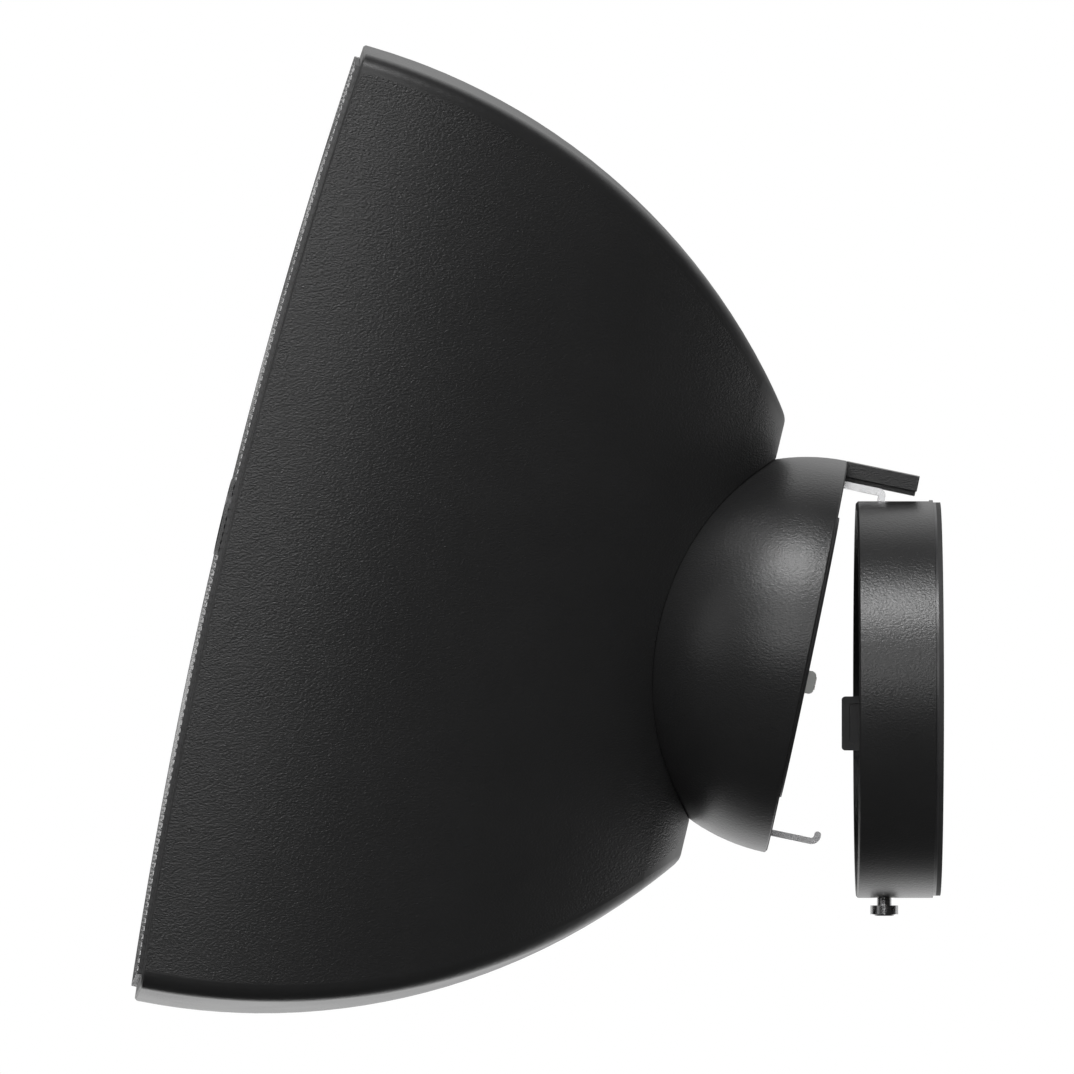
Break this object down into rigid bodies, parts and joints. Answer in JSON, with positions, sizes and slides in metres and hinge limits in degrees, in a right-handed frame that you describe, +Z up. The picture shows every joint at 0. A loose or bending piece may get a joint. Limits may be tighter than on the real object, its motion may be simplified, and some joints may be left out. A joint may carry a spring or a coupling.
{
  "type": "wall speaker",
  "caption": "Wall loudspeaker with a cushion-shaped cabinet on a ball dome, half hooked onto its round wall base.",
  "frame": {"origin": "centre of the wall screw circle, on the face that lies on the wall", "axes": "+X into the wall, along the base's axis; +Z up; the cabinet's front faces -X"},
  "size_m": [0.2907, 0.223, 0.3479],
  "materials": {
    "black_plastic": "fine grain",
    "inner_plastic": "smooth",
    "plug_plastic": "smooth",
    "grille_metal": "satin black",
    "black_steel": "satin",
    "badge_metal": "satin",
    "bright_steel": "polished",
    "screw_steel": "zinc plated",
    "cast_saddle": "die cast",
    "contact_nickel": "nickel plated",
    "insert_brass": "plain",
    "black_rubber": "matte",
    "ferrite": "matte",
    "cone_fibre": "matte",
    "spider_cloth": "woven",
    "copper_wire": "enamelled",
    "board_resin": "lacquered",
    "capacitor_film": "gloss"
  },
  "bodies": {
    "wall_base": {"wall_gasket": "black_rubber", "base_backplate": "black_steel", "base_cup": "black_plastic", "base_screws": "screw_steel", "hook_bracket": "black_steel", "hook_bracket_screws": "screw_steel", "socket_housing": "inner_plastic", "socket_contacts": "contact_nickel", "terminal_block": "inner_plastic", "terminal_screws": "screw_steel", "thumbscrew_insert": "insert_brass"},
    "thumbscrew": {"thumbscrew": "bright_steel"},
    "ball_dome": {"dome_shell": "black_plastic", "dome_chassis": "inner_plastic", "chassis_screws": "screw_steel", "rim_seal": "black_rubber", "top_tongue": "black_plastic", "hanger_strap": "bright_steel", "latch_hook": "bright_steel", "contact_plug": "plug_plastic", "plug_contacts": "contact_nickel"},
    "clamp_saddle": {"clamp_saddle": "cast_saddle"},
    "cabinet": {"clamp_washer": "screw_steel", "clamp_bolt": "screw_steel", "clamp_insert": "insert_brass", "enclosure": "black_plastic", "cable_gland": "black_rubber", "baffle": "inner_plastic", "baffle_gasket": "black_rubber", "baffle_screws": "screw_steel", "grille": "grille_metal", "badge": "badge_metal", "woofer_basket": "black_steel", "woofer_screws": "screw_steel", "woofer_top_plate": "screw_steel", "woofer_magnet": "ferrite", "woofer_yoke": "screw_steel", "woofer_surround": "black_rubber", "woofer_spider": "spider_cloth", "tweeter_waveguide": "inner_plastic", "tweeter_screws": "screw_steel", "tweeter_dome": "inner_plastic", "tweeter_motor": "screw_steel", "port_tube_near": "inner_plastic", "port_tube_far": "inner_plastic", "crossover_board": "board_resin", "board_standoffs": "inner_plastic", "crossover_coils": "copper_wire", "crossover_capacitors": "capacitor_film"},
    "woofer_moving": {"woofer_cone": "cone_fibre", "woofer_voice_coil": "copper_wire", "woofer_dust_cap": "cone_fibre"}
  },
  "joints": [
    {"name": "hook_seat", "type": "hinge", "parent": "wall_base", "child": "ball_dome", "pos_m": [0.03399, 0, 0.09034], "axis": [0, 1, 0], "range_deg": [-11.8, 2]},
    {"name": "pan", "type": "hinge", "parent": "ball_dome", "child": "clamp_saddle", "pos_m": [-0.0481, 0, 0.0152], "axis": [0.2045, 0, 0.9789], "range_deg": [-18, 18]},
    {"name": "tilt", "type": "hinge", "parent": "clamp_saddle", "child": "cabinet", "pos_m": [-0.0481, 0, 0.0152], "axis": [0, 1, 0], "range_deg": [-15, 12]},
    {"name": "thumbscrew_travel", "type": "slide", "parent": "wall_base", "child": "thumbscrew", "axis": [0, 0, 1], "range_m": [0, 0.0027]},
    {"name": "woofer_excursion", "type": "slide", "parent": "cabinet", "child": "woofer_moving", "axis": [0.9724, 0, -0.2334], "range_m": [-0.003, 0.003], "stiffness_N_per_m": 1500}
  ]
}
